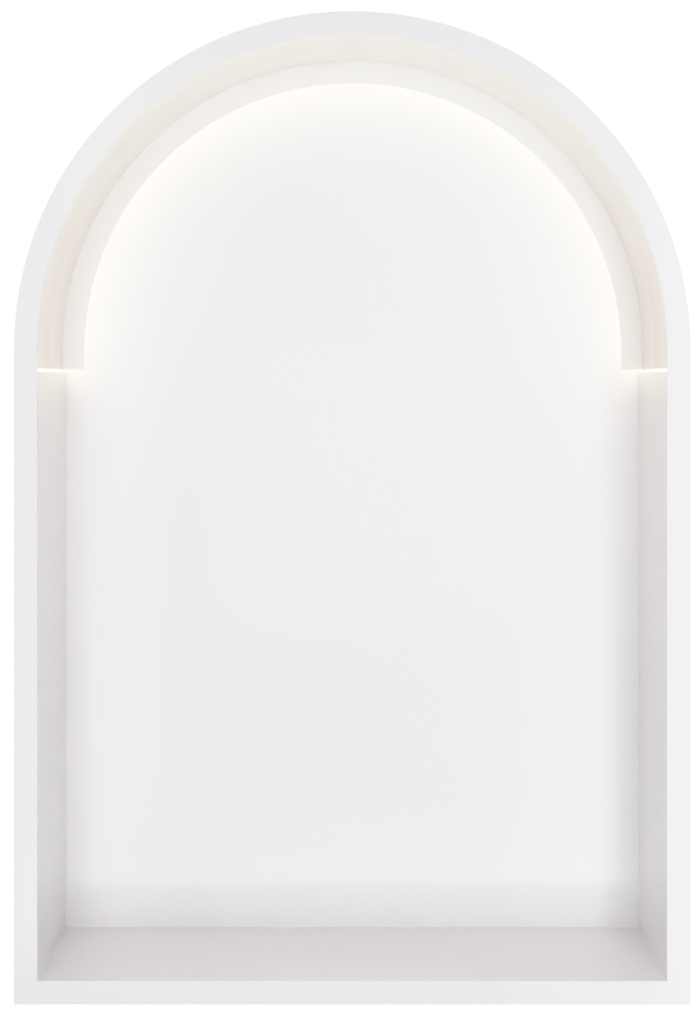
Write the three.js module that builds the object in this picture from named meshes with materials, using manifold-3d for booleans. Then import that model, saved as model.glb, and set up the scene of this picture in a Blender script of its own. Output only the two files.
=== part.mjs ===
// Arched recessed wall niche in white coated sheet steel, with a hidden light in its arch.
// Millimetres. X runs to the right, Y into the wall and Z up, and the niche opens towards -Y.
// The origin lies on the wall's face: y = 0 is the back of the flat rim, at the middle of the
// rim's contact band below the opening.

import * as THREE from "three";
import { mergeVertices, toCreasedNormals } from "three/addons/utils/BufferGeometryUtils.js";
import Module from "manifold-3d";

const wasm = await Module();
wasm.setup();

// Opening and box.
const openingWidth = 400;
const openingHeight = 601.5;
const nicheDepth = 100; // from the rim's front face to the back panel's inner face
const rimWidth = 15;
const sheet = 1.2; // one gauge of sheet for rim, walls, back panel and cove
const seamRadius = 1.2; // coated weld fillets round the back panel
const cornerExtra = 0.3; // the fillets between floor and side walls are this much fuller

// Light cove: a rolled profile under the arch that hides the light strip behind its lip.
const coveGap = 20; // from the lip's front face to the back panel
const lipHeight = 16;
const coveTail = 12.4; // straight length of the cove below the arch's springing
const seamHeight = 1.8; // open seam between the cove's foot and the side wall

// Light strip in its opal sleeve.
const stripWidth = 8;
const stripThickness = 2;
const stripFront = 3; // from the cove's front return to the end of the strip's forward tail

// Blind rubber grommet for the supply lead, in the back panel at the crown of the arch.
const grommetHoleRadius = 5;
const grommetFlangeRadius = 7;
const grommetFlange = 1.5;
const grommetChamfer = 1.2;
const grommetNoseRadius = 2.6;
const grommetNose = 3;
const grommetInset = 1; // from the grommet's flange to the arch shell

// Clearances between separate pieces.
const fitGap = 0.3;
const stripAirGap = 0.5; // between the strip and the cove's soffit

// Facets.
const archSteps = 72;
const filletSteps = 5;
const roundSteps = 32;
const creaseAngle = Math.PI / 6;

// Finishes.
const powderCoat = { color: 0xf4f2f1, roughness: 0.35, metalness: 0 };
const opalSleeve = { color: 0xfff6e0, roughness: 0.5, metalness: 0, emissive: 0xffedc8 };
const blackRubber = { color: 0x2b2b2d, roughness: 0.8, metalness: 0 };

// Worked out from the sizes above.
const archRadius = openingWidth / 2;
const floorZ = (rimWidth + sheet) / 2;
const springZ = floorZ + openingHeight - archRadius;
const rimFrontY = -sheet;
const backY = rimFrontY + nicheDepth;
const cornerRadius = seamRadius + cornerExtra;
const shellEndY = backY + sheet;
const footZ = springZ - coveTail;
const ledgeZ = footZ - seamHeight;
const chamberRadius = archRadius + sheet + stripAirGap + stripThickness + fitGap;
const lipFrontY = backY - coveGap;
const lipBackY = lipFrontY + sheet;
const stripOuterRadius = chamberRadius - fitGap;
const stripInnerRadius = stripOuterRadius - stripThickness;
const grommetZ = springZ + chamberRadius - grommetInset - grommetFlangeRadius;

// A straight-sided arch outline: flat at zBottom, round above the springing.
function archPoints(radius, zBottom) {
  const crown = new THREE.EllipseCurve(0, springZ, radius, radius, 0, Math.PI).getPoints(archSteps);
  return [new THREE.Vector2(radius, zBottom), ...crown, new THREE.Vector2(-radius, zBottom)];
}

// The outline of a band that follows the arch between two radii, with feet at zBottom.
function archBandPoints(innerRadius, outerRadius, zBottom) {
  return [...archPoints(outerRadius, zBottom), ...archPoints(innerRadius, zBottom).reverse()];
}

// A closed geometry as a solid that can be joined and cut.
function solid(geometry) {
  const bare = geometry.clone();
  bare.deleteAttribute("normal");
  bare.deleteAttribute("uv");
  const merged = mergeVertices(bare, 1e-4);
  return new wasm.Manifold(new wasm.Mesh({
    numProp: 3,
    vertProperties: new Float32Array(merged.attributes.position.array),
    triVerts: new Uint32Array(merged.index.array),
  }));
}

// An XZ outline that fills the depth from yFront to yBack.
function slab(points, yFront, yBack) {
  const geometry = new THREE.ExtrudeGeometry(new THREE.Shape(points), {
    depth: yBack - yFront,
    bevelEnabled: false,
  });
  geometry.rotateX(Math.PI / 2);
  geometry.translate(0, yBack, 0);
  return solid(geometry);
}

// A box between two corners.
function block(low, high) {
  const size = high.map((value, axis) => value - low[axis]);
  const geometry = new THREE.BoxGeometry(...size);
  geometry.translate(...low.map((value, axis) => value + size[axis] / 2));
  return solid(geometry);
}

// A round bar along Y.
function barAlongY(x, z, radius, yFront, yBack) {
  const geometry = new THREE.CylinderGeometry(radius, radius, yBack - yFront, roundSteps);
  geometry.translate(x, (yFront + yBack) / 2, z);
  return solid(geometry);
}

// Turns a solid back into a mesh with its own material.
function mesh(name, shape, finish) {
  const data = shape.getMesh();
  const geometry = new THREE.BufferGeometry();
  geometry.setAttribute("position", new THREE.BufferAttribute(new Float32Array(data.vertProperties), 3));
  geometry.setIndex(new THREE.BufferAttribute(new Uint32Array(data.triVerts), 1));
  const material = new THREE.MeshStandardMaterial(finish);
  const piece = new THREE.Mesh(toCreasedNormals(geometry, creaseAngle), material);
  piece.name = name;
  return piece;
}

// The space between the side walls below the cove. Its lower corners and its rear edges are round,
// which leaves the weld fillets standing on the body.
function lowerCavity() {
  const side = archRadius - cornerRadius;
  const corner = floorZ + cornerRadius;
  const right = new THREE.EllipseCurve(side, corner, cornerRadius, cornerRadius, 1.5 * Math.PI, 2 * Math.PI);
  const left = new THREE.EllipseCurve(-side, corner, cornerRadius, cornerRadius, Math.PI, 1.5 * Math.PI);
  const outline = [
    ...right.getPoints(filletSteps),
    new THREE.Vector2(archRadius, springZ),
    new THREE.Vector2(-archRadius, springZ),
    ...left.getPoints(filletSteps),
  ];
  const geometry = new THREE.ExtrudeGeometry(new THREE.Shape(outline), {
    depth: nicheDepth,
    bevelThickness: seamRadius,
    bevelSize: seamRadius,
    bevelOffset: -seamRadius,
    bevelSegments: filletSteps,
  });
  geometry.rotateX(Math.PI / 2);
  geometry.translate(0, backY - seamRadius, 0);
  return solid(geometry);
}

// Rim, side walls, arch shell, floor and back panel are welded into one piece.
function nicheBody() {
  const lowerShell = slab(archPoints(archRadius + sheet, floorZ - sheet), 0, shellEndY);
  const archShell = slab(archPoints(chamberRadius + sheet, ledgeZ - sheet), 0, shellEndY);
  const rim = slab(archPoints(archRadius + rimWidth, floorZ - rimWidth), rimFrontY, 0);
  const archCavity = slab(archPoints(archRadius, ledgeZ), rimFrontY - sheet, backY);
  const chamber = slab(archPoints(chamberRadius, ledgeZ), 0, backY);
  const leadHole = barAlongY(0, grommetZ, grommetHoleRadius, backY - sheet, shellEndY + sheet);
  const body = rim.add(lowerShell).add(archShell)
    .subtract(lowerCavity()).subtract(archCavity).subtract(chamber).subtract(leadHole);
  return mesh("niche_body", body, powderCoat);
}

// The cove is one rolled strip of sheet: a return behind the rim, the soffit and the lip.
function lightCove() {
  const frontY = fitGap;
  const frontReturn = slab(archBandPoints(archRadius, chamberRadius - fitGap, footZ), frontY, frontY + sheet);
  const soffit = slab(archBandPoints(archRadius, archRadius + sheet, footZ), frontY, lipBackY);
  const lip = slab(archBandPoints(archRadius - lipHeight, archRadius + sheet, footZ), lipFrontY, lipBackY);
  return mesh("light_cove", frontReturn.add(soffit).add(lip), powderCoat);
}

// The strip runs round the arch behind the lip, and its two ends turn forward behind the cove's feet.
function ledStrip() {
  const frontEdgeY = (lipBackY + backY - stripWidth) / 2;
  const backEdgeY = frontEdgeY + stripWidth;
  const bottomZ = footZ + fitGap;
  const frontEndY = fitGap + sheet + stripFront;
  const run = slab(archBandPoints(stripInnerRadius, stripOuterRadius, bottomZ), frontEdgeY, backEdgeY);
  const topZ = bottomZ + stripWidth;
  const leftTail = block([-stripOuterRadius, frontEndY, bottomZ], [-stripInnerRadius, backEdgeY, topZ]);
  const rightTail = block([stripInnerRadius, frontEndY, bottomZ], [stripOuterRadius, backEdgeY, topZ]);
  return mesh("led_strip", run.add(leftTail).add(rightTail), opalSleeve);
}

// A blind grommet: two flanges that clasp the back panel, a neck between them and a pointed nose
// that is pierced when the lead is fitted.
function cableGrommet() {
  const neckRadius = grommetHoleRadius - fitGap;
  const innerFaceY = backY - fitGap;
  const outerFaceY = shellEndY + fitGap;
  const profile = [
    [0, innerFaceY - grommetFlange],
    [grommetFlangeRadius - grommetChamfer, innerFaceY - grommetFlange],
    [grommetFlangeRadius, innerFaceY],
    [neckRadius, innerFaceY],
    [neckRadius, outerFaceY],
    [grommetFlangeRadius, outerFaceY],
    [grommetFlangeRadius - grommetChamfer, outerFaceY + grommetFlange],
    [grommetNoseRadius, outerFaceY + grommetFlange],
    [grommetNoseRadius / 2, outerFaceY + grommetFlange + grommetNose],
    [0, outerFaceY + grommetFlange + grommetNose],
  ].map(([radius, along]) => new THREE.Vector2(radius, along));
  const geometry = new THREE.LatheGeometry(profile, roundSteps);
  geometry.translate(0, 0, grommetZ);
  return mesh("cable_grommet", solid(geometry), blackRubber);
}

const recessedWallNiche = new THREE.Group();
recessedWallNiche.add(nicheBody(), lightCove(), ledStrip(), cableGrommet());

export default recessedWallNiche;
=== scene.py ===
"""Dresses the arched, lit wall niche: its welded body, light cove, light strip and lead grommet.

Lengths are metres in the CAD's frame: X to the right, Y into the wall and Z up, with y = 0 on the
wall's face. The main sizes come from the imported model, and only what it doesn't hold, such as the
small radii of edges and welds, is named here.
"""

import logging
import math
from collections.abc import Callable, Sequence
from dataclasses import dataclass
from enum import Enum

import bmesh
import bpy
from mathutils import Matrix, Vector


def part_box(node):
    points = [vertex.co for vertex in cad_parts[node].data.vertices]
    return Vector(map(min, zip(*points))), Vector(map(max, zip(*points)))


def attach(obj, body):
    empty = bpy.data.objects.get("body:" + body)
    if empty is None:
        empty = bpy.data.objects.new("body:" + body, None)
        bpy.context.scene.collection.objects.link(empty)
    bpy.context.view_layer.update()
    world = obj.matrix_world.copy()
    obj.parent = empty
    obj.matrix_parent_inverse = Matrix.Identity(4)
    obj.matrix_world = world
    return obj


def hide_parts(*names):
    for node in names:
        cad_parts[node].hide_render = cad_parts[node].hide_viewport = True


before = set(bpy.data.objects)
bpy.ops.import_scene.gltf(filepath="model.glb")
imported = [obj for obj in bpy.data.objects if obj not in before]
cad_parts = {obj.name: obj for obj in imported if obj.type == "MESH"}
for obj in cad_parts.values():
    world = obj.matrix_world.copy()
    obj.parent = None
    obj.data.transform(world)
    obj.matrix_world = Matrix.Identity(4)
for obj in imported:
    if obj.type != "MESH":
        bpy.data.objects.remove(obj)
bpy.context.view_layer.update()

MM = 0.001
MERGE = 0.002 * MM  # vertices closer than this are one vertex
NEAR = 0.01 * MM  # points closer than this are in the same place
MIX_ONE, MIX_TWO, MIX_RESULT = 6, 7, 2  # the numbers of a Mix node's colour sockets
BODY = "root"
PHOTO_WIDTH = 699
PHOTO_HEIGHT = 1020

log = logging.getLogger("niche")

Outline = list[tuple[float, float]]
Loop = list[bmesh.types.BMVert]


def linear(hex_colour: str) -> tuple[float, float, float, float]:
    """Turns an sRGB hex colour into linear RGBA.

    Args:
        hex_colour: Six hex digits after a hash.

    Returns:
        Linear red, green and blue, and an alpha of 1.
    """
    channels = (int(hex_colour[start : start + 2], 16) / 255 for start in (1, 3, 5))
    rgb = (c / 12.92 if c <= 0.04045 else ((c + 0.055) / 1.055) ** 2.4 for c in channels)
    return (*rgb, 1.0)


def add_node(
    tree: bpy.types.NodeTree,
    kind: str,
    inputs: dict[str | int, object] | None = None,
    **settings: object,
) -> bpy.types.Node:
    """Adds a node, sets its properties and fills its inputs with values or links.

    Args:
        tree: A material's, a world's or a geometry tree.
        kind: The node's type.
        inputs: By name or number, a value or the output socket that feeds the input.
        **settings: The node's own properties.

    Returns:
        The new node.
    """
    node = tree.nodes.new(kind)
    for name, value in settings.items():
        setattr(node, name, value)
    for key, value in (inputs or {}).items():
        if isinstance(value, bpy.types.NodeSocket):
            tree.links.new(value, node.inputs[key])
        else:
            node.inputs[key].default_value = value
    return node


def new_material(name: str) -> bpy.types.Material:
    """Makes a material with an empty node tree.

    Args:
        name: The material's name.

    Returns:
        The material.
    """
    material = bpy.data.materials.new(name)
    material.use_nodes = True
    material.node_tree.nodes.clear()
    return material


def rounded(corners: Sequence[tuple[float, float, float]], steps: int = 4) -> Outline:
    """Rounds the corners of a closed outline.

    Args:
        corners: Each corner's two coordinates and its radius.
        steps: The number of segments in each round.

    Returns:
        The outline's points.
    """
    points: Outline = []
    for i, (x, y, radius) in enumerate(corners):
        corner = Vector((x, y))
        before = (Vector(corners[i - 1][:2]) - corner).normalized()
        after = (Vector(corners[(i + 1) % len(corners)][:2]) - corner).normalized()
        half = before.angle(after) / 2
        centre = corner + (before + after).normalized() * radius / math.sin(half)
        start = corner + before * radius / math.tan(half) - centre
        end = corner + after * radius / math.tan(half) - centre
        for step in range(steps + 1):
            share = step / steps
            arm = start.slerp(end, share) * radius if radius else start
            points.append(tuple(centre + arm))
            if not radius:
                break
    return points


def mesh_from(name: str, build: Callable[[bmesh.types.BMesh], None]) -> bpy.types.Mesh:
    """Builds a mesh, merges its doubles and turns its faces outwards.

    Args:
        name: The mesh's name.
        build: Fills an empty bmesh.

    Returns:
        The mesh.
    """
    bm = bmesh.new()
    build(bm)
    bmesh.ops.remove_doubles(bm, verts=bm.verts, dist=MERGE)
    bmesh.ops.recalc_face_normals(bm, faces=bm.faces)
    mesh = bpy.data.meshes.new(name)
    bm.to_mesh(mesh)
    bm.free()
    return mesh


def as_piece(
    name: str,
    mesh: bpy.types.Mesh,
    material: bpy.types.Material,
    crease: float = 35,
) -> bpy.types.Object:
    """Makes a piece of a mesh: smooth across its rounds, flat on its flats.

    Args:
        name: The piece's name.
        mesh: Its mesh, in the CAD's frame.
        material: Its finish.
        crease: The angle in degrees above which an edge stays sharp.

    Returns:
        The piece, at the origin.
    """
    mesh.materials.clear()
    mesh.materials.append(material)
    for polygon in mesh.polygons:
        polygon.use_smooth = True
        polygon.material_index = 0
    mesh.set_sharp_from_angle(angle=math.radians(crease))
    piece = bpy.data.objects.new(name, mesh)
    bpy.context.scene.collection.objects.link(piece)
    flats = piece.modifiers.new("flat faces", "WEIGHTED_NORMAL")
    flats.keep_sharp = True
    return piece


def join_loops(bm: bmesh.types.BMesh, one: Loop, two: Loop) -> None:
    """Joins two closed loops by a band of faces. A loop may be a single vertex, as at a tip.

    Args:
        bm: The bmesh that holds both.
        one: The first loop.
        two: The second loop, with as many vertices unless either is a tip.
    """
    for i in range(max(len(one), len(two))):
        corners = [loop[j % len(loop)] for loop, j in ((one, i - 1), (one, i), (two, i), (two, i - 1))]
        bm.faces.new(dict.fromkeys(corners))


def add_ring(
    bm: bmesh.types.BMesh,
    radius: float,
    steps: int,
    place: Callable[[float, float], tuple[float, float, float]],
) -> Loop:
    """Adds a ring of vertices, or a single vertex where the ring shrinks to a tip.

    Args:
        bm: The bmesh.
        radius: The ring's radius, or 0 for a tip.
        steps: The number of vertices.
        place: Puts the ring's two coordinates where they belong.

    Returns:
        The ring's vertices.
    """
    if radius < MERGE:
        return [bm.verts.new(place(0.0, 0.0))]
    turns = [math.tau * step / steps for step in range(steps)]
    return [bm.verts.new(place(radius * math.cos(turn), radius * math.sin(turn))) for turn in turns]


@dataclass(frozen=True)
class Measures:
    """The places that the pieces share.

    The opening's and the rim's radii are half widths too, and depths are measured along Y.
    """

    rim_radius: float
    opening_radius: float
    spring_z: float
    floor_z: float
    rim_front_y: float
    sheet: float
    shell_back_y: float
    panel_y: float
    chamber_radius: float
    foot_z: float
    ledge_z: float

    @classmethod
    def read(
        cls,
        rim_width: float = 15 * MM,
        fit_gap: float = 0.3 * MM,
        seam: float = 1.8 * MM,
    ) -> "Measures":
        """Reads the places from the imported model.

        Args:
            rim_width: The rim's width round the opening.
            fit_gap: The gap between separate pieces.
            seam: The open seam between the cove's feet and the side walls.

        Returns:
            The measures.
        """
        low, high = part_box("niche_body")
        cove_low, cove_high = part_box("light_cove")
        sheet = -low.y
        return cls(
            rim_radius=high.x,
            opening_radius=high.x - rim_width,
            spring_z=high.z - high.x,
            floor_z=low.z + rim_width,
            rim_front_y=low.y,
            sheet=sheet,
            shell_back_y=high.y,
            panel_y=high.y - sheet,
            chamber_radius=cove_high.x + fit_gap,
            foot_z=cove_low.z,
            ledge_z=cove_low.z - seam,
        )


@dataclass(frozen=True)
class PowderCoat:
    """Gloss polyester powder coat, sprayed on the welded sheet and stoved.

    It melts into one skin, with no brush marks or grain. The eye sees an even white with a soft
    mirror of what is large and bright, and a very faint orange peel a few millimetres across.
    """

    name: str = "white_powder_coat"
    colour: str = "#F5F4F5"
    drift_colour: str = "#F4F3F4"
    drift_size: float = 70 * MM
    roughness: float = 0.12
    ior: float = 1.5
    peel_size: float = 3.0 * MM
    peel_height: float = 0.004 * MM

    def material(self) -> bpy.types.Material:
        """Builds the material.

        Returns:
            A Principled material with slight drifts of tone and the peel in its bump.
        """
        material = new_material(self.name)
        tree = material.node_tree
        place = add_node(tree, "ShaderNodeTexCoord").outputs["Object"]
        drift = add_node(
            tree,
            "ShaderNodeTexNoise",
            {"Vector": place, "Scale": 1 / self.drift_size, "Detail": 2.0},
        )
        tone = add_node(
            tree,
            "ShaderNodeMix",
            {
                "Factor": drift.outputs["Fac"],
                MIX_ONE: linear(self.colour),
                MIX_TWO: linear(self.drift_colour),
            },
            data_type="RGBA",
        )
        peel = add_node(
            tree,
            "ShaderNodeTexNoise",
            {"Vector": place, "Scale": 1 / self.peel_size, "Detail": 1.0},
        )
        bump = add_node(
            tree,
            "ShaderNodeBump",
            {"Height": peel.outputs["Fac"], "Distance": self.peel_height, "Strength": 1.0},
        )
        shader = add_node(
            tree,
            "ShaderNodeBsdfPrincipled",
            {
                "Base Color": tone.outputs[MIX_RESULT],
                "Roughness": self.roughness,
                "IOR": self.ior,
                "Normal": bump.outputs["Normal"],
            },
        )
        add_node(tree, "ShaderNodeOutputMaterial", {"Surface": shader.outputs[0]})
        return material


@dataclass(frozen=True)
class PaintedWarmLightCoat(PowderCoat):
    """The same white powder coat, drawn brighter and creamier on the cove. This is painted warm light: it
    stands in for the strip's glow falling on the soffit and lip.
    """

    name: str = "coat_with_painted_warm_light"
    # painted warm light: a brighter, warmer copy of the white coat's colours
    colour: str = "#FCF9F4"
    drift_colour: str = "#FBF8F3"


@dataclass(frozen=True)
class OpalSilicone:
    """Opal silicone sleeve, extruded over a row of warm diodes.

    It scatters their light into one even band, in which no single diode shows.
    """

    name: str = "opal_silicone"
    colour: str = "#F3EDE0"
    glow: str = "#FFE6B7"
    strength: float = 6.3
    roughness: float = 0.45
    ior: float = 1.41

    def material(self) -> bpy.types.Material:
        """Builds the material.

        Returns:
            A Principled material that gives off light.
        """
        material = new_material(self.name)
        tree = material.node_tree
        shader = add_node(
            tree,
            "ShaderNodeBsdfPrincipled",
            {
                "Base Color": linear(self.colour),
                "Roughness": self.roughness,
                "IOR": self.ior,
                "Emission Color": linear(self.glow),
                "Emission Strength": self.strength,
            },
        )
        add_node(tree, "ShaderNodeOutputMaterial", {"Surface": shader.outputs[0]})
        return material


@dataclass(frozen=True)
class MouldedRubber:
    """Carbon-black rubber, moulded in an eroded steel mould.

    It is a dull near-black with a fine even grain and a broad, soft sheen on its edges. The grain
    is drawn at several times its real size, so that it shows.
    """

    name: str = "moulded_black_rubber"
    colour: str = "#29292B"
    roughness: float = 0.62
    ior: float = 1.52
    grain_size: float = 0.4 * MM
    grain_height: float = 0.02 * MM

    def material(self) -> bpy.types.Material:
        """Builds the material.

        Returns:
            A Principled material with the grain in its bump.
        """
        material = new_material(self.name)
        tree = material.node_tree
        place = add_node(tree, "ShaderNodeTexCoord").outputs["Object"]
        grain = add_node(tree, "ShaderNodeTexNoise", {"Vector": place, "Scale": 1 / self.grain_size})
        bump = add_node(
            tree,
            "ShaderNodeBump",
            {"Height": grain.outputs["Fac"], "Distance": self.grain_height, "Strength": 1.0},
        )
        shader = add_node(
            tree,
            "ShaderNodeBsdfPrincipled",
            {
                "Base Color": linear(self.colour),
                "Roughness": self.roughness,
                "IOR": self.ior,
                "Normal": bump.outputs["Normal"],
            },
        )
        add_node(tree, "ShaderNodeOutputMaterial", {"Surface": shader.outputs[0]})
        return material


@dataclass(frozen=True)
class MattPaper:
    """Matt background paper. The eye sees a plain pale floor with a very faint fibre and no mirror."""

    name: str = "pale_paper"
    colour: str = "#E9E8E6"
    fibre_colour: str = "#E5E4E2"
    fibre_size: float = 4 * MM
    roughness: float = 0.9

    def material(self) -> bpy.types.Material:
        """Builds the material.

        Returns:
            A Principled material with the fibre in its tone.
        """
        material = new_material(self.name)
        tree = material.node_tree
        place = add_node(tree, "ShaderNodeTexCoord").outputs["Object"]
        fibre = add_node(tree, "ShaderNodeTexNoise", {"Vector": place, "Scale": 1 / self.fibre_size})
        tone = add_node(
            tree,
            "ShaderNodeMix",
            {
                "Factor": fibre.outputs["Fac"],
                MIX_ONE: linear(self.colour),
                MIX_TWO: linear(self.fibre_colour),
            },
            data_type="RGBA",
        )
        shader = add_node(
            tree,
            "ShaderNodeBsdfPrincipled",
            {"Base Color": tone.outputs[MIX_RESULT], "Roughness": self.roughness},
        )
        add_node(tree, "ShaderNodeOutputMaterial", {"Surface": shader.outputs[0]})
        return material


@dataclass(frozen=True)
class NodeModifier:
    """A Geometry Nodes tree that is run on an object and baked into a plain mesh."""

    tree: bpy.types.NodeTree

    def bake(self, name: str, source: bpy.types.Mesh, values: dict[str, object]) -> bpy.types.Mesh:
        """Runs the tree on a mesh.

        Args:
            name: The new mesh's name.
            source: The mesh that the tree starts from.
            values: The tree's named inputs.

        Returns:
            The result, with its doubles merged and its faces turned outwards.
        """
        carrier = bpy.data.objects.new(name, source)
        bpy.context.scene.collection.objects.link(carrier)
        modifier = carrier.modifiers.new(name, "NODES")
        modifier.node_group = self.tree
        for item in self.tree.interface.items_tree:
            if item.item_type == "SOCKET" and item.in_out == "INPUT" and item.name in values:
                modifier[item.identifier] = values[item.name]
        evaluated = carrier.evaluated_get(bpy.context.evaluated_depsgraph_get())
        mesh = bpy.data.meshes.new_from_object(evaluated)
        bpy.data.objects.remove(carrier)
        bm = bmesh.new()
        bm.from_mesh(mesh)
        bmesh.ops.remove_doubles(bm, verts=bm.verts, dist=MERGE)
        bmesh.ops.recalc_face_normals(bm, faces=bm.faces)
        bm.to_mesh(mesh)
        bm.free()
        mesh.name = name
        return mesh


def add_input(tree: bpy.types.NodeTree, name: str, kind: str) -> None:
    """Adds a named input to a geometry tree."""
    tree.interface.new_socket(name, in_out="INPUT", socket_type=kind)


def arch_sweep() -> bpy.types.NodeTree:
    """Builds the tree that carries a closed section round the arch and down its two tails.

    The section is drawn with X away from the arch's centre and Y into the wall. The path starts
    at the right foot, which sets the way that the section faces.

    Returns:
        A geometry tree with inputs for the arch's radius, its springing's and feet's heights,
        its steps and its material.
    """
    tree = bpy.data.node_groups.new("arch_sweep", "GeometryNodeTree")
    add_input(tree, "Section", "NodeSocketGeometry")
    sizes = ("Arch Radius", "Springing Height", "Foot Height")
    for name in sizes:
        add_input(tree, name, "NodeSocketFloat")
    add_input(tree, "Steps", "NodeSocketInt")
    add_input(tree, "Finish", "NodeSocketMaterial")
    tree.interface.new_socket("Swept", in_out="OUTPUT", socket_type="NodeSocketGeometry")
    given = add_node(tree, "NodeGroupInput").outputs
    radius, spring_z, foot_z = (given[name] for name in sizes)
    spring = add_node(tree, "ShaderNodeCombineXYZ", {"X": radius, "Z": spring_z})
    foot = add_node(tree, "ShaderNodeCombineXYZ", {"X": radius, "Z": foot_z})
    mirror = (-1.0, 1.0, 1.0)
    left_spring, left_foot = (
        add_node(tree, "ShaderNodeVectorMath", {0: end.outputs[0], 1: mirror}, operation="MULTIPLY")
        for end in (spring, foot)
    )
    right = add_node(
        tree,
        "GeometryNodeCurvePrimitiveLine",
        {"Start": foot.outputs[0], "End": spring.outputs[0]},
    )
    left = add_node(
        tree,
        "GeometryNodeCurvePrimitiveLine",
        {"Start": left_spring.outputs[0], "End": left_foot.outputs[0]},
    )
    arc = add_node(
        tree,
        "GeometryNodeCurveArc",
        {"Resolution": given["Steps"], "Radius": radius, "Start Angle": 0.0, "Sweep Angle": math.pi},
    )
    height = add_node(tree, "ShaderNodeCombineXYZ", {"Z": spring_z})
    crown = add_node(
        tree,
        "GeometryNodeTransform",
        {
            "Geometry": arc.outputs[0],
            "Translation": height.outputs[0],
            "Rotation": (math.pi / 2, 0.0, 0.0),
        },
    )
    stretches = add_node(tree, "GeometryNodeJoinGeometry")
    for stretch in (left, crown, right):
        tree.links.new(stretch.outputs[0], stretches.inputs[0])
    edges = add_node(tree, "GeometryNodeCurveToMesh", {"Curve": stretches.outputs[0]})
    joined = add_node(
        tree,
        "GeometryNodeMergeByDistance",
        {"Geometry": edges.outputs[0], "Distance": NEAR},
    )
    path = add_node(tree, "GeometryNodeMeshToCurve", {"Mesh": joined.outputs[0]})
    section = add_node(tree, "GeometryNodeMeshToCurve", {"Mesh": given["Section"]})
    swept = add_node(
        tree,
        "GeometryNodeCurveToMesh",
        {"Curve": path.outputs[0], "Profile Curve": section.outputs[0], "Fill Caps": True},
    )
    real = add_node(tree, "GeometryNodeRealizeInstances", {"Geometry": swept.outputs[0]})
    dressed = add_node(
        tree,
        "GeometryNodeSetMaterial",
        {"Geometry": real.outputs[0], "Material": given["Finish"]},
    )
    add_node(tree, "NodeGroupOutput", {0: dressed.outputs[0]})
    return tree


def stitch_welds() -> bpy.types.NodeTree:
    """Builds the tree that sets a weld bead at equal steps along paths, in line with them.

    Returns:
        A geometry tree with inputs for the bead, the beads' spacing and their material.
    """
    tree = bpy.data.node_groups.new("stitch_welds", "GeometryNodeTree")
    add_input(tree, "Paths", "NodeSocketGeometry")
    add_input(tree, "Bead", "NodeSocketObject")
    add_input(tree, "Spacing", "NodeSocketFloat")
    add_input(tree, "Finish", "NodeSocketMaterial")
    tree.interface.new_socket("Beads", in_out="OUTPUT", socket_type="NodeSocketGeometry")
    given = add_node(tree, "NodeGroupInput").outputs
    bead = add_node(tree, "GeometryNodeObjectInfo", {"Object": given["Bead"]})
    path = add_node(tree, "GeometryNodeMeshToCurve", {"Mesh": given["Paths"]})
    even = add_node(
        tree,
        "GeometryNodeResampleCurve",
        {"Curve": path.outputs[0], "Length": given["Spacing"]},
        mode="LENGTH",
    )
    tangent = add_node(tree, "GeometryNodeInputTangent")
    turn = add_node(tree, "FunctionNodeAlignRotationToVector", {"Vector": tangent.outputs[0]}, axis="Z")
    beads = add_node(
        tree,
        "GeometryNodeInstanceOnPoints",
        {"Points": even.outputs[0], "Instance": bead.outputs["Geometry"], "Rotation": turn.outputs[0]},
    )
    real = add_node(tree, "GeometryNodeRealizeInstances", {"Geometry": beads.outputs[0]})
    dressed = add_node(
        tree,
        "GeometryNodeSetMaterial",
        {"Geometry": real.outputs[0], "Material": given["Finish"]},
    )
    add_node(tree, "NodeGroupOutput", {0: dressed.outputs[0]})
    return tree


class Zone(Enum):
    """The two parts of the shell, which have walls at their own radii."""

    LOWER = "the plain side walls and floor"
    ARCH = "the arch, where the shell stands clear of the cove"


class Stretch(Enum):
    """The three kinds of stretch in the outline, seen from the front."""

    CORNER = "floor corner"
    SIDE = "straight side"
    CROWN = "round arch"


@dataclass(frozen=True)
class Station:
    """A place along the outline: its stretch, its side and an angle, or a height on a side."""

    stretch: Stretch
    side: int
    at: float
    inside: Zone
    outside: Zone


@dataclass(frozen=True)
class Ring:
    """A line of the section, carried round the outline.

    It has a radius and a depth in each zone and a radius at the floor's corners. It follows the
    zones of the shell's inner or outer face.
    """

    lower: tuple[float, float]
    arch: tuple[float, float]
    corner: float
    inner: bool


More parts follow.
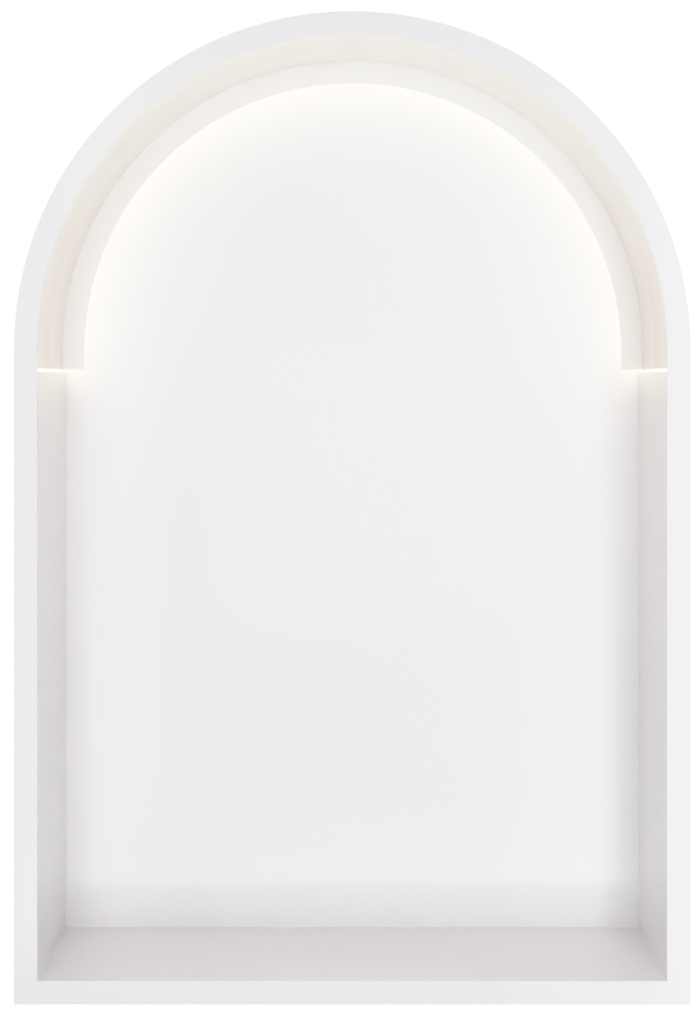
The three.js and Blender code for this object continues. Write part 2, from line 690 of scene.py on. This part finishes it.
@dataclass
class NicheBody:
    """The welded body: rim, side walls, floor, arch shell and back panel under one coat.

    Its section runs from the back panel's inner face over the rim to the outer face, and each of
    its points is carried round the outline as a ring.
    """

    at: Measures
    coat: bpy.types.Material
    crown_steps: int = 192
    corner_steps: int = 6
    edge_steps: int = 4
    seam_radius: float = 0.5 * MM
    corner_radius: float = 0.6 * MM
    chamber_fillet: float = 0.4 * MM
    rim_edge: float = 0.5 * MM
    rim_back_edge: float = 0.3 * MM
    rim_corner: float = 0.6 * MM
    rim_weld: float = 0.8 * MM
    shell_edge: float = 0.8 * MM
    lead_hole_radius: float = 5 * MM
    lead_hole_steps: int = 48
    weld_spacing: float = 62 * MM
    weld_length: float = 16 * MM
    weld_radius: float = 1.4 * MM
    weld_seat: float = 0.45 * MM
    weld_ripple: float = 1.1 * MM
    weld_swell: float = 0.09
    weld_sides: int = 12
    weld_rings: int = 56

    def stations(self) -> list[Station]:
        """Lists the outline's stations, up the right side, over the arch and down the left.

        Returns:
            The stations of one closed loop. The floor's run closes it.
        """
        turns = [math.pi / 2 * (step / self.corner_steps - 1) for step in range(self.corner_steps + 1)]
        under_z = self.at.ledge_z - self.at.sheet
        climb = (
            (under_z, Zone.LOWER, Zone.LOWER),
            (under_z, Zone.LOWER, Zone.ARCH),
            (self.at.ledge_z, Zone.LOWER, Zone.ARCH),
            (self.at.ledge_z, Zone.ARCH, Zone.ARCH),
        )
        sides = [
            [Station(Stretch.CORNER, side, turn, Zone.LOWER, Zone.LOWER) for turn in turns]
            + [Station(Stretch.SIDE, side, z, inside, outside) for z, inside, outside in climb]
            for side in (1, -1)
        ]
        crown = [
            Station(Stretch.CROWN, 1, math.pi * step / self.crown_steps, Zone.ARCH, Zone.ARCH)
            for step in range(self.crown_steps + 1)
        ]
        return sides[0] + crown + sides[1][::-1]

    def place(self, station: Station, ring: Ring) -> Vector:
        """Finds the point where a ring passes a station.

        Args:
            station: The place along the outline.
            ring: The line of the section.

        Returns:
            The point.
        """
        zone = station.inside if ring.inner else station.outside
        radius, depth = ring.arch if zone is Zone.ARCH else ring.lower
        if station.stretch is Stretch.CROWN:
            height = self.at.spring_z + radius * math.sin(station.at)
            return Vector((radius * math.cos(station.at), depth, height))
        if station.stretch is Stretch.SIDE:
            return Vector((station.side * radius, depth, station.at))
        middle_x = radius - ring.corner
        middle_z = self.at.floor_z - (radius - self.at.opening_radius) + ring.corner
        across = station.side * (middle_x + ring.corner * math.cos(station.at))
        return Vector((across, depth, middle_z + ring.corner * math.sin(station.at)))

    def rings(self) -> list[Ring]:
        """Lists the section's lines, from the back panel's inner face to its outer one.

        Returns:
            The rings in order.
        """
        at = self.at
        opening, chamber, rim = at.opening_radius, at.chamber_radius, at.rim_radius
        shell, step_out = opening + at.sheet, chamber - opening
        quarter = [math.pi / 2 * step / self.edge_steps for step in range(self.edge_steps + 1)]
        seam, small, weld = self.seam_radius, self.chamber_fillet, self.rim_weld
        edge, back_edge, shell_edge = self.rim_edge, self.rim_back_edge, self.shell_edge

        def ring(lower: tuple[float, float], arch: tuple[float, float], inner: bool = True) -> Ring:
            """Makes a ring whose corners follow the opening's."""
            return Ring(lower, arch, self.corner_radius + lower[0] - opening, inner)

        def rim_ring(radius: float, depth: float) -> Ring:
            """Makes a ring of the rim's outer edge, whose corners are nearly sharp."""
            return Ring((radius, depth), (radius, depth), self.rim_corner + radius - rim, True)

        rings = [
            ring(
                (opening - seam + seam * math.sin(a), at.panel_y - seam + seam * math.cos(a)),
                (chamber - small + small * math.sin(a), at.panel_y - small + small * math.cos(a)),
            )
            for a in quarter
        ]
        rings += [ring((opening, 0), (chamber, 0)), ring((opening, 0), (opening, 0))]
        for a in quarter:
            spot = (opening + edge - edge * math.cos(a), at.rim_front_y + edge - edge * math.sin(a))
            rings.append(ring(spot, spot))
        for a in quarter:
            depth = at.rim_front_y + edge - edge * math.cos(a)
            rings.append(rim_ring(rim - edge + edge * math.sin(a), depth))
        for a in quarter:
            depth = back_edge * math.sin(a) - back_edge
            rings.append(rim_ring(rim - back_edge + back_edge * math.cos(a), depth))
        for a in quarter:
            radius, depth = shell + weld - weld * math.sin(a), weld - weld * math.cos(a)
            rings.append(ring((radius, depth), (radius + step_out, depth), inner=False))
        for a in quarter:
            radius = shell - shell_edge + shell_edge * math.cos(a)
            depth = at.shell_back_y - shell_edge + shell_edge * math.sin(a)
            rings.append(ring((radius, depth), (radius + step_out, depth), inner=False))
        return rings

    def fill_shell(self, bm: bmesh.types.BMesh) -> None:
        """Fills a bmesh with the shell, both faces of its back panel and the lead's hole.

        Args:
            bm: The empty bmesh.
        """
        stations = self.stations()
        loops = [
            [bm.verts.new(self.place(station, ring)) for station in stations]
            for ring in self.rings()
        ]
        for one, two in zip(loops, loops[1:]):
            join_loops(bm, one, two)
        bmesh.ops.remove_doubles(bm, verts=bm.verts, dist=MERGE)
        grommet_low, grommet_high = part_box("cable_grommet")
        centre_z = (grommet_low.z + grommet_high.z) / 2
        holes = []
        for depth in (self.at.panel_y, self.at.shell_back_y):
            rim_edges = [
                edge
                for edge in bm.edges
                if edge.is_boundary and all(abs(v.co.y - depth) < NEAR for v in edge.verts)
            ]
            hole = add_ring(
                bm,
                self.lead_hole_radius,
                self.lead_hole_steps,
                lambda x, z, y=depth: (x, y, centre_z + z),
            )
            hole_edges = [bm.edges.new((hole[i - 1], hole[i])) for i in range(len(hole))]
            bmesh.ops.triangle_fill(bm, use_beauty=True, edges=rim_edges + hole_edges)
            holes.append(hole)
        join_loops(bm, *holes)

    def fill_bead(self, bm: bmesh.types.BMesh) -> None:
        """Fills a bmesh with one weld bead along Z: blunt at its ends and rippled between them.

        Args:
            bm: The empty bmesh.
        """
        loops = []
        for step in range(self.weld_rings + 1):
            along = 2 * step / self.weld_rings - 1
            rise = along * self.weld_length / 2
            swell = 1 + self.weld_swell * math.cos(math.tau * rise / self.weld_ripple)
            girth = self.weld_radius * swell * math.sqrt(1 - along**4)
            loops.append(add_ring(bm, girth, self.weld_sides, lambda x, y, z=rise: (x, y, z)))
        for one, two in zip(loops, loops[1:]):
            join_loops(bm, one, two)

    def weld_paths(self) -> bpy.types.Mesh:
        """Draws the paths of the stitch welds, in the corner between the rim's back and the shell.

        Returns:
            A mesh of edges: the arch, the two sides and the floor.
        """
        at, seat, inset = self.at, self.weld_seat, self.weld_length
        shell = at.opening_radius + at.sheet + seat
        arch = at.chamber_radius + at.sheet + seat
        floor_z = at.floor_z - at.sheet - seat
        top_z = at.ledge_z - at.sheet - inset
        turns = [math.pi * step / self.crown_steps for step in range(self.crown_steps + 1)]
        lines = [
            [(arch * math.cos(turn), seat, at.spring_z + arch * math.sin(turn)) for turn in turns],
            [(shell, seat, floor_z + inset), (shell, seat, top_z)],
            [(-shell, seat, floor_z + inset), (-shell, seat, top_z)],
            [(inset - shell, seat, floor_z), (shell - inset, seat, floor_z)],
        ]
        mesh = bpy.data.meshes.new("weld_paths")
        points = [point for line in lines for point in line]
        edges = []
        start = 0
        for line in lines:
            edges += [(start + i, start + i + 1) for i in range(len(line) - 1)]
            start += len(line)
        mesh.from_pydata(points, edges, [])
        return mesh

    def build(self) -> list[bpy.types.Object]:
        """Builds and dresses the body and its stitch welds.

        Returns:
            The body and the welds on its hidden side.
        """
        body = as_piece("welded_body", mesh_from("welded_body", self.fill_shell), self.coat)
        bead = bpy.data.objects.new("weld_bead", mesh_from("weld_bead", self.fill_bead))
        beads = NodeModifier(stitch_welds()).bake(
            "stitch_welds",
            self.weld_paths(),
            {"Bead": bead, "Spacing": self.weld_spacing, "Finish": self.coat},
        )
        bpy.data.objects.remove(bead)
        welds = as_piece("stitch_welds", beads, self.coat, crease=80)
        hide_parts("niche_body")
        return [body, welds]


@dataclass
class LightCove:
    """The rolled cove under the arch: a return behind the rim, the soffit and the lip.

    The soffit closes in a little over its rear part, so that it turns slightly to the front there.
    """

    at: Measures
    coat: bpy.types.Material
    steps: int = 200
    bend: float = 0.35 * MM
    toe_in: float = 0.8 * MM
    toe_start: float = 40 * MM
    toe_round: float = 300 * MM
    edge: float = 0.35 * MM
    front_edge: float = 0.3 * MM
    lip_height: float = 16 * MM

    def section(self) -> bpy.types.Mesh:
        """Draws the rolled section, with X outwards from the opening and Y into the wall.

        Returns:
            A mesh that is one closed loop of edges.
        """
        low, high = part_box("light_cove")
        sheet = self.at.sheet
        top = high.x - self.at.opening_radius
        front, back = low.y, high.y
        corners = (
            (top, front, self.front_edge),
            (0, front, self.front_edge),
            (0, front + self.toe_start, self.toe_round),
            (-self.toe_in, back - sheet, self.bend),
            (-self.lip_height, back - sheet, self.edge),
            (-self.lip_height, back, self.edge),
            (sheet - self.toe_in, back, self.bend),
            (sheet, front + self.toe_start, self.toe_round),
            (sheet, front + sheet, self.front_edge),
            (top, front + sheet, self.front_edge),
        )
        points = rounded(corners)
        mesh = bpy.data.meshes.new("cove_section")
        edges = [(i, (i + 1) % len(points)) for i in range(len(points))]
        mesh.from_pydata([(x, y, 0) for x, y in points], edges, [])
        return mesh

    def build(self) -> list[bpy.types.Object]:
        """Sweeps and dresses the cove.

        Returns:
            The cove.
        """
        mesh = NodeModifier(arch_sweep()).bake(
            "light_cove_roll",
            self.section(),
            {
                "Arch Radius": self.at.opening_radius,
                "Springing Height": self.at.spring_z,
                "Foot Height": self.at.foot_z,
                "Steps": self.steps,
                "Finish": self.coat,
            },
        )
        cove = as_piece("rolled_cove", mesh, self.coat)
        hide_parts("light_cove")
        return [cove]


@dataclass
class LightStrip:
    """The light strip in its sleeve: one run round the arch, with its ends turned forward."""

    at: Measures
    sleeve: bpy.types.Material
    width: float = 8 * MM
    thickness: float = 2 * MM
    corner: float = 0.6 * MM
    crown_steps: int = 144

    def fill(self, bm: bmesh.types.BMesh) -> None:
        """Fills a bmesh with the sleeve's section, carried along its run.

        Args:
            bm: The empty bmesh.
        """
        low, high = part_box("led_strip")
        outer = high.x
        back_y, front_y = high.y, low.y
        edge_y = back_y - self.width
        bottom_z, spring_z = low.z, self.at.spring_z
        section = rounded(
            (
                (0, 0, self.corner),
                (self.width, 0, self.corner),
                (self.width, self.thickness, self.corner),
                (0, self.thickness, self.corner),
            )
        )
        ends = {
            "front": ((front_y, bottom_z + self.width), (front_y, bottom_z)),
            "mitre": ((edge_y, bottom_z + self.width), (back_y, bottom_z)),
        }

        def tail_loop(side: int, key: str) -> Loop:
            """Adds one loop of a tail, at its front end or at its mitre with the run.

            Args:
                side: 1 for the right tail, -1 for the left one.
                key: Which of the two ends.

            Returns:
                The loop's vertices.
            """
            one, two = (Vector(end) for end in ends[key])
            loop = []
            for across, deep in section:
                y, z = one.lerp(two, across / self.width)
                loop.append(bm.verts.new((side * (outer - self.thickness + deep), y, z)))
            return loop

        loops = [tail_loop(1, "front"), tail_loop(1, "mitre")]
        for step in range(self.crown_steps + 1):
            turn = math.pi * step / self.crown_steps
            loop = []
            for across, deep in section:
                radius = outer - self.thickness + deep
                spot = (radius * math.cos(turn), edge_y + across, spring_z + radius * math.sin(turn))
                loop.append(bm.verts.new(spot))
            loops.append(loop)
        loops += [tail_loop(-1, "mitre"), tail_loop(-1, "front")]
        for one, two in zip(loops, loops[1:]):
            join_loops(bm, one, two)
        bm.faces.new(loops[0])
        bm.faces.new(loops[-1])

    def build(self) -> list[bpy.types.Object]:
        """Builds and dresses the strip.

        Returns:
            The strip.
        """
        strip = as_piece("light_strip_sleeve", mesh_from("light_strip_sleeve", self.fill), self.sleeve)
        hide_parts("led_strip")
        return [strip]


@dataclass
class CableGrommet:
    """The blind grommet in the back panel: two flanges, a neck and a closed nose."""

    at: Measures
    rubber: bpy.types.Material
    steps: int = 48
    flange_radius: float = 7 * MM
    flange: float = 1.5 * MM
    chamfer: float = 1.2 * MM
    neck_radius: float = 4.7 * MM
    nose_radius: float = 2.6 * MM
    edge: float = 0.35 * MM
    fit_gap: float = 0.3 * MM
    dimple_radius: float = 2.4 * MM
    dimple_depth: float = 0.4 * MM

    def fill(self, bm: bmesh.types.BMesh) -> None:
        """Fills a bmesh with the grommet's profile, turned about its axis.

        Args:
            bm: The empty bmesh.
        """
        low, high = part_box("cable_grommet")
        centre_z = (low.z + high.z) / 2
        inner_y, outer_y = low.y + self.flange, self.at.shell_back_y + self.fit_gap
        rim = self.flange_radius
        corners = (
            (0, low.y + self.dimple_depth, 0),
            (self.dimple_radius, low.y + self.dimple_depth, self.edge),
            (self.dimple_radius + self.dimple_depth, low.y, self.edge),
            (rim - self.chamfer, low.y, self.edge),
            (rim, inner_y, self.edge / 2),
            (self.neck_radius, inner_y, self.edge / 2),
            (self.neck_radius, outer_y, self.edge / 2),
            (rim, outer_y, self.edge / 2),
            (rim - self.chamfer, outer_y + self.flange, self.edge),
            (self.nose_radius, outer_y + self.flange, self.edge),
            (self.nose_radius / 2, high.y, self.edge),
            (0, high.y, 0),
        )
        profile = rounded(corners)
        loops = [
            add_ring(bm, radius, self.steps, lambda x, z, y=depth: (x, y, centre_z + z))
            for radius, depth in profile
        ]
        for one, two in zip(loops, loops[1:]):
            join_loops(bm, one, two)

    def build(self) -> list[bpy.types.Object]:
        """Builds and dresses the grommet.

        Returns:
            The grommet.
        """
        grommet = as_piece("blind_grommet", mesh_from("blind_grommet", self.fill), self.rubber, crease=40)
        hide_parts("cable_grommet")
        return [grommet]


@dataclass(frozen=True)
class Softbox:
    """A flat rectangular light: its middle, its target, its width and height, and its radiance."""

    name: str
    middle: tuple[float, float, float]
    target: tuple[float, float, float]
    width: float
    height: float
    radiance: float
    colour: str = "#FEFDFF"

    def build(self) -> None:
        """Sets up the light, hidden from the camera."""
        light = bpy.data.lights.new(self.name, "AREA")
        light.shape = "RECTANGLE"
        light.size = self.width
        light.size_y = self.height
        light.energy = self.radiance * math.pi * self.width * self.height
        light.color = linear(self.colour)[:3]
        lamp = bpy.data.objects.new(self.name, light)
        bpy.context.scene.collection.objects.link(lamp)
        lamp.location = self.middle
        aim = Vector(self.target) - Vector(self.middle)
        lamp.rotation_euler = aim.to_track_quat("-Z", "Y").to_euler()
        lamp.visible_camera = False


@dataclass
class Studio:
    """The pale floor, the soft light and the camera at the photograph's place.

    The bank is a grid of softboxes behind the camera, each dimmed by itself, with narrow ones just
    in front of it. The rest light the niche from the left, above, below and behind.
    """

    at: Measures
    floor_drop: float = 1.2
    floor_size: float = 3.0
    focal_px: float = 1586
    axis_px: tuple[float, float] = (358, 382.4)
    eye_x: float = 3.7 * MM
    eye_distance: float = 1007.5 * MM
    eye_above_floor: float = 380.4 * MM
    sensor: float = 36
    knee: float = 0.76
    white: float = 2.0
    curve_steps: int = 16
    bank_y: float = -1.35
    edge_y: float = bank_y + 10 * MM
    side_y: float = -1.05
    bank_columns: tuple[float, ...] = (-0.7, -0.25, 0.25, 0.7)
    bank_rows: tuple[float, ...] = (-0.46, 0.0, 0.45, 0.95)
    bank_radiances: tuple[tuple[float, ...], ...] = (
        (1.5, 1.6, 2.5),
        (1.4, 2.8, 2.3),
        (2.1, 2.0, 2.9),
    )
    softboxes: tuple[Softbox, ...] = (
        Softbox("low_right", (0.475, bank_y, -0.655), (0.475, 0.0, -0.655), 0.45, 0.39, 1.5),
        Softbox("left_side", (-1.5, side_y, 0.4), (0.0, side_y, 0.4), 0.7, 1.8, 1.0),
        Softbox("right_edge", (0.51, edge_y, 0.2), (0.51, 0.0, 0.2), 0.12, 1.6, 3.6),
        Softbox("left_edge", (-0.37, edge_y, 0.3), (-0.37, 0.0, 0.3), 0.12, 1.4, 1.6),
        Softbox("low_edge", (0.0, edge_y, -0.38), (0.0, 0.0, -0.38), 1.0, 0.16, 1.4),
        Softbox("overhead", (0.0, side_y, 1.7), (0.0, side_y, 0.0), 3.0, 0.7, 1.4),
        Softbox("underneath", (0.0, side_y, -0.8), (0.0, side_y, 0.0), 3.0, 0.7, 0.8),
        Softbox("rear_left", (-1.3, 1.0, 0.6), (0.0, 0.05, 0.3), 1.4, 1.4, 1.9),
        Softbox("rear_right", (1.3, 1.0, 0.6), (0.0, 0.05, 0.3), 1.4, 1.4, 1.9),
        Softbox("floor_wash", (0.0, 0.9, 2.4), (0.0, 0.9, 0.0), 2.6, 2.2, 3.5),
    )

    def camera(self) -> None:
        """Sets the camera square to the wall, with its frame shifted as the photograph's is."""
        data = bpy.data.cameras.new("camera")
        data.sensor_width = self.sensor
        data.lens = self.focal_px / PHOTO_HEIGHT * self.sensor
        data.shift_x = (PHOTO_WIDTH / 2 - self.axis_px[0]) / PHOTO_HEIGHT
        data.shift_y = (self.axis_px[1] - PHOTO_HEIGHT / 2) / PHOTO_HEIGHT
        camera = bpy.data.objects.new("camera", data)
        bpy.context.scene.collection.objects.link(camera)
        eye_y = self.at.rim_front_y - self.eye_distance
        camera.location = (self.eye_x, eye_y, self.at.floor_z + self.eye_above_floor)
        camera.rotation_euler = (math.pi / 2, 0, 0)
        bpy.context.scene.camera = camera

    def tone(self) -> None:
        """Gives the picture a camera's soft shoulder, which holds the glow back from pure white."""
        view = bpy.context.scene.view_settings
        view.view_transform = "Standard"
        view.use_curve_mapping = True
        mapping = view.curve_mapping
        mapping.white_level = (self.white, self.white, self.white)
        combined = mapping.curves[3]
        span = (self.white - self.knee) / (1 - self.knee)
        for step in range(self.curve_steps):
            over = span * step / self.curve_steps
            shown = over * (1 + over / span**2) / (1 + over)
            combined.points.new(
                (self.knee + over * (1 - self.knee)) / self.white,
                self.knee + shown * (1 - self.knee),
            )
        for point in combined.points:
            point.handle_type = "VECTOR"
        mapping.update()

    def world(self) -> None:
        """Makes the surroundings white to the camera and dark to the niche."""
        world = bpy.data.worlds.new("studio")
        world.use_nodes = True
        tree = world.node_tree
        tree.nodes.clear()
        white = linear("#FFFFFF")
        seen = add_node(tree, "ShaderNodeBackground", {"Color": white, "Strength": self.white})
        room = add_node(tree, "ShaderNodeBackground", {"Color": white, "Strength": 0.0})
        path = add_node(tree, "ShaderNodeLightPath")
        mixed = add_node(
            tree,
            "ShaderNodeMixShader",
            {0: path.outputs["Is Camera Ray"], 1: room.outputs[0], 2: seen.outputs[0]},
        )
        add_node(tree, "ShaderNodeOutputWorld", {"Surface": mixed.outputs[0]})
        bpy.context.scene.world = world

    def floor(self) -> None:
        """Lays a pale matt floor well below the niche."""
        mesh = bpy.data.meshes.new("studio_floor")
        half = self.floor_size / 2
        level = self.at.floor_z - self.floor_drop
        corners = [(x * half, y * half, level) for x, y in ((-1, -1), (1, -1), (1, 1), (-1, 1))]
        mesh.from_pydata(corners, [], [(0, 1, 2, 3)])
        mesh.materials.append(MattPaper().material())
        floor = bpy.data.objects.new("studio_floor", mesh)
        bpy.context.scene.collection.objects.link(floor)

    def lights(self) -> None:
        """Sets up the bank of softboxes, each dimmed by itself, and the softboxes round it."""
        y, columns, rows = self.bank_y, self.bank_columns, self.bank_rows
        for j, radiances in enumerate(self.bank_radiances):
            for i, radiance in enumerate(radiances):
                x, z = (columns[i] + columns[i + 1]) / 2, (rows[j] + rows[j + 1]) / 2
                width, height = columns[i + 1] - columns[i], rows[j + 1] - rows[j]
                Softbox(f"bank_{i}_{j}", (x, y, z), (x, 0.0, z), width, height, radiance).build()
        for softbox in self.softboxes:
            softbox.build()

    def build(self) -> None:
        """Sets up the whole studio."""
        self.tone()
        self.camera()
        self.world()
        self.floor()
        self.lights()


def main() -> None:
    """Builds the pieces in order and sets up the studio."""
    logging.basicConfig(level=logging.INFO, format="%(message)s")
    at = Measures.read()
    assemblies = (
        NicheBody(at, PowderCoat().material()),
        # the cove's coat has painted warm light in its colour
        LightCove(at, PaintedWarmLightCoat().material()),
        LightStrip(at, OpalSilicone().material()),
        CableGrommet(at, MouldedRubber().material()),
    )
    for assembly in assemblies:
        for piece in assembly.build():
            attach(piece, BODY)
            log.info("%s: %d faces", piece.name, len(piece.data.polygons))
    Studio(at).build()


if __name__ == "__main__":
    main()
